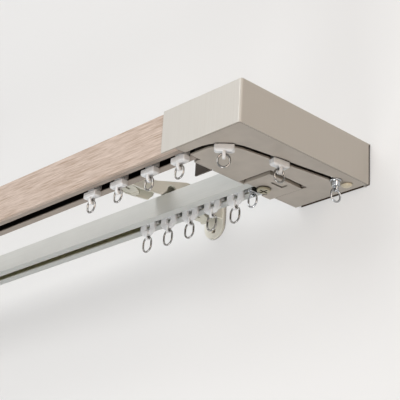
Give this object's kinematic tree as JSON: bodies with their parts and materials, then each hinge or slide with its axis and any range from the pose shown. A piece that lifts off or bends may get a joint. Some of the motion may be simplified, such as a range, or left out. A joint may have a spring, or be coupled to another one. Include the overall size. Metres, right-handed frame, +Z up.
{
  "type": "double curtain track",
  "caption": "Wall-mounted double curtain track: wood-faced front rail and plain rear rail on pressed brackets, end caps with a curved return slot, sliding ring runners.",
  "frame": {"origin": "middle of the centre bracket's wall face", "axes": "+X along the track, +Y into the wall (the room is at -Y), +Z up"},
  "size_m": [1, 0.134, 0.0675],
  "materials": {
    "wood_foil": "satin printed foil",
    "rail_front": "satin anodised",
    "rail_rear": "white coated",
    "cap_moulding": "satin metallic moulding",
    "base_moulding": "matte moulding",
    "track_moulding": "dark matte moulding",
    "cream_moulding": "smooth moulding",
    "bright_steel": "bright plated",
    "ring_steel": "plated wire",
    "bracket_paint": "cream enamel",
    "lever_moulding": "satin moulding",
    "pin_steel": "plated",
    "runner_moulding": "translucent white moulding"
  },
  "bodies": {
    "track": {"front_rail": "rail_front", "front_fascia": "wood_foil", "rear_rail": "rail_rear", "right_cap_shell": "cap_moulding", "left_cap_shell": "cap_moulding", "right_cap_base": "base_moulding", "left_cap_base": "base_moulding", "right_return_track": "track_moulding", "left_return_track": "track_moulding", "right_joint_cover": "base_moulding", "left_joint_cover": "base_moulding", "right_clamp_screw": "cream_moulding", "left_clamp_screw": "cream_moulding", "right_hook_button": "cream_moulding", "left_hook_button": "cream_moulding", "right_front_end_hook": "bright_steel", "left_front_end_hook": "bright_steel", "right_rear_end_hook": "bright_steel", "left_rear_end_hook": "bright_steel", "left_bracket_plate": "bracket_paint", "left_bracket_arm": "bracket_paint", "centre_bracket_plate": "bracket_paint", "centre_bracket_arm": "bracket_paint", "right_bracket_plate": "bracket_paint", "right_bracket_arm": "bracket_paint", "lever_pins": "pin_steel"},
    "left_front_lever": {"left_front_lever": "lever_moulding"},
    "left_rear_lever": {"left_rear_lever": "lever_moulding"},
    "centre_front_lever": {"centre_front_lever": "lever_moulding"},
    "centre_rear_lever": {"centre_rear_lever": "lever_moulding"},
    "right_front_lever": {"right_front_lever": "lever_moulding"},
    "right_rear_lever": {"right_rear_lever": "lever_moulding"},
    "right_front_end_ring": {"right_front_end_ring": "bright_steel"},
    "left_front_end_ring": {"left_front_end_ring": "bright_steel"},
    "right_rear_end_ring": {"right_rear_end_ring": "bright_steel"},
    "left_rear_end_ring": {"left_rear_end_ring": "bright_steel"},
    "front_runner_1": {"front_runner_1": "runner_moulding"},
    "front_ring_1": {"front_ring_1": "ring_steel"},
    "front_runner_2": {"front_runner_2": "runner_moulding"},
    "front_ring_2": {"front_ring_2": "ring_steel"},
    "front_runner_3": {"front_runner_3": "runner_moulding"},
    "front_ring_3": {"front_ring_3": "ring_steel"},
    "front_runner_4": {"front_runner_4": "runner_moulding"},
    "front_ring_4": {"front_ring_4": "ring_steel"},
    "front_runner_5": {"front_runner_5": "runner_moulding"},
    "front_ring_5": {"front_ring_5": "ring_steel"},
    "front_runner_6": {"front_runner_6": "runner_moulding"},
    "front_ring_6": {"front_ring_6": "ring_steel"},
    "rear_runner_1": {"rear_runner_1": "runner_moulding"},
    "rear_ring_1": {"rear_ring_1": "ring_steel"},
    "rear_runner_2": {"rear_runner_2": "runner_moulding"},
    "rear_ring_2": {"rear_ring_2": "ring_steel"},
    "rear_runner_3": {"rear_runner_3": "runner_moulding"},
    "rear_ring_3": {"rear_ring_3": "ring_steel"},
    "rear_runner_4": {"rear_runner_4": "runner_moulding"},
    "rear_ring_4": {"rear_ring_4": "ring_steel"},
    "rear_runner_5": {"rear_runner_5": "runner_moulding"},
    "rear_ring_5": {"rear_ring_5": "ring_steel"}
  },
  "joints": [
    {"name": "front_runner_1_slide", "type": "slide", "parent": "track", "child": "front_runner_1", "axis": [1, 0, 0], "range_m": [-0.757, 0.012]},
    {"name": "front_runner_2_slide", "type": "slide", "parent": "track", "child": "front_runner_2", "axis": [1, 0, 0], "range_m": [-0.56775, 0.009]},
    {"name": "front_runner_3_slide", "type": "slide", "parent": "track", "child": "front_runner_3", "axis": [1, 0, 0], "range_m": [-0.3785, 0.006]},
    {"name": "front_runner_4_slide", "type": "slide", "parent": "track", "child": "front_runner_4", "axis": [1, 0, 0], "range_m": [-0.18925, 0.003]},
    {"name": "front_runner_5_turn", "type": "hinge", "parent": "track", "child": "front_runner_5", "pos_m": [0.4503, -0.0974, -0.021], "axis": [0, 0, 1], "range_deg": [-28, 34]},
    {"name": "front_runner_6_slide", "type": "slide", "parent": "track", "child": "front_runner_6", "axis": [0.1564, 0.9877, 0], "range_m": [-0.012, 0.036]},
    {"name": "front_ring_1_swing", "type": "hinge", "parent": "front_runner_1", "child": "front_ring_1", "pos_m": [0.3318, -0.1214, -0.0279], "axis": [1, 0, 0], "range_deg": [-60, 60]},
    {"name": "front_ring_2_swing", "type": "hinge", "parent": "front_runner_2", "child": "front_ring_2", "pos_m": [0.3629, -0.1214, -0.0279], "axis": [1, 0, 0], "range_deg": [-60, 60]},
    {"name": "front_ring_3_swing", "type": "hinge", "parent": "front_runner_3", "child": "front_ring_3", "pos_m": [0.3974, -0.1214, -0.0279], "axis": [1, 0, 0], "range_deg": [-60, 60]},
    {"name": "front_ring_4_swing", "type": "hinge", "parent": "front_runner_4", "child": "front_ring_4", "pos_m": [0.4292, -0.1214, -0.0279], "axis": [1, 0, 0], "range_deg": [-60, 60]},
    {"name": "front_ring_5_swing", "type": "hinge", "parent": "front_runner_5", "child": "front_ring_5", "pos_m": [0.46667, -0.11495, -0.0279], "axis": [0.7314, 0.682, 0], "range_deg": [-60, 60]},
    {"name": "front_ring_6_swing", "type": "hinge", "parent": "front_runner_6", "child": "front_ring_6", "pos_m": [0.47854, -0.07251, -0.0279], "axis": [0.1564, 0.9877, 0], "range_deg": [-60, 60]},
    {"name": "rear_runner_1_slide", "type": "slide", "parent": "track", "child": "rear_runner_1", "axis": [1, 0, 0], "range_m": [-0.728, 0.004]},
    {"name": "rear_runner_2_slide", "type": "slide", "parent": "track", "child": "rear_runner_2", "axis": [1, 0, 0], "range_m": [-0.5824, 0.0032]},
    {"name": "rear_runner_3_slide", "type": "slide", "parent": "track", "child": "rear_runner_3", "axis": [1, 0, 0], "range_m": [-0.4368, 0.0024]},
    {"name": "rear_runner_4_slide", "type": "slide", "parent": "track", "child": "rear_runner_4", "axis": [1, 0, 0], "range_m": [-0.2912, 0.0016]},
    {"name": "rear_runner_5_slide", "type": "slide", "parent": "track", "child": "rear_runner_5", "axis": [1, 0, 0], "range_m": [-0.1456, 0.0008]},
    {"name": "rear_ring_1_swing", "type": "hinge", "parent": "rear_runner_1", "child": "rear_ring_1", "pos_m": [0.3126, -0.0478, -0.0304], "axis": [1, 0, 0], "range_deg": [-60, 60]},
    {"name": "rear_ring_2_swing", "type": "hinge", "parent": "rear_runner_2", "child": "rear_ring_2", "pos_m": [0.3371, -0.0478, -0.0304], "axis": [1, 0, 0], "range_deg": [-60, 60]},
    {"name": "rear_ring_3_swing", "type": "hinge", "parent": "rear_runner_3", "child": "rear_ring_3", "pos_m": [0.3616, -0.0478, -0.0304], "axis": [1, 0, 0], "range_deg": [-60, 60]},
    {"name": "rear_ring_4_swing", "type": "hinge", "parent": "rear_runner_4", "child": "rear_ring_4", "pos_m": [0.3861, -0.0478, -0.0304], "axis": [1, 0, 0], "range_deg": [-60, 60]},
    {"name": "rear_ring_5_swing", "type": "hinge", "parent": "rear_runner_5", "child": "rear_ring_5", "pos_m": [0.411, -0.0478, -0.0304], "axis": [1, 0, 0], "range_deg": [-60, 60]},
    {"name": "right_front_end_ring_swing", "type": "hinge", "parent": "track", "child": "right_front_end_ring", "pos_m": [0.48654, -0.022, -0.0279], "axis": [0.1564, 0.9877, 0], "range_deg": [-60, 60]},
    {"name": "right_rear_end_ring_swing", "type": "hinge", "parent": "track", "child": "right_rear_end_ring", "pos_m": [0.4288, -0.0478, -0.0251], "axis": [1, 0, 0], "range_deg": [-60, 60]},
    {"name": "left_front_end_ring_swing", "type": "hinge", "parent": "track", "child": "left_front_end_ring", "pos_m": [-0.48654, -0.022, -0.0279], "axis": [-0.1564, 0.9877, 0], "range_deg": [-60, 60]},
    {"name": "left_rear_end_ring_swing", "type": "hinge", "parent": "track", "child": "left_rear_end_ring", "pos_m": [-0.4288, -0.0478, -0.0251], "axis": [1, 0, 0], "range_deg": [-60, 60]},
    {"name": "left_front_lever_turn", "type": "hinge", "parent": "track", "child": "left_front_lever", "pos_m": [-0.34, -0.103, -0.007], "axis": [1, 0, 0], "range_deg": [0, 25]},
    {"name": "left_rear_lever_turn", "type": "hinge", "parent": "track", "child": "left_rear_lever", "pos_m": [-0.34, -0.0287, -0.007], "axis": [1, 0, 0], "range_deg": [0, 25]},
    {"name": "centre_front_lever_turn", "type": "hinge", "parent": "track", "child": "centre_front_lever", "pos_m": [0, -0.103, -0.007], "axis": [1, 0, 0], "range_deg": [0, 25]},
    {"name": "centre_rear_lever_turn", "type": "hinge", "parent": "track", "child": "centre_rear_lever", "pos_m": [0, -0.0287, -0.007], "axis": [1, 0, 0], "range_deg": [0, 25]},
    {"name": "right_front_lever_turn", "type": "hinge", "parent": "track", "child": "right_front_lever", "pos_m": [0.34, -0.103, -0.007], "axis": [1, 0, 0], "range_deg": [0, 25]},
    {"name": "right_rear_lever_turn", "type": "hinge", "parent": "track", "child": "right_rear_lever", "pos_m": [0.34, -0.0287, -0.007], "axis": [1, 0, 0], "range_deg": [0, 25]}
  ],
  "couplings": [
    {"joint": "front_runner_2_slide", "follows": "front_runner_1_slide", "ratio": 0.75},
    {"joint": "front_runner_3_slide", "follows": "front_runner_1_slide", "ratio": 0.5},
    {"joint": "front_runner_4_slide", "follows": "front_runner_1_slide", "ratio": 0.25},
    {"joint": "rear_runner_2_slide", "follows": "rear_runner_1_slide", "ratio": 0.8},
    {"joint": "rear_runner_3_slide", "follows": "rear_runner_1_slide", "ratio": 0.6},
    {"joint": "rear_runner_4_slide", "follows": "rear_runner_1_slide", "ratio": 0.4},
    {"joint": "rear_runner_5_slide", "follows": "rear_runner_1_slide", "ratio": 0.2}
  ]
}
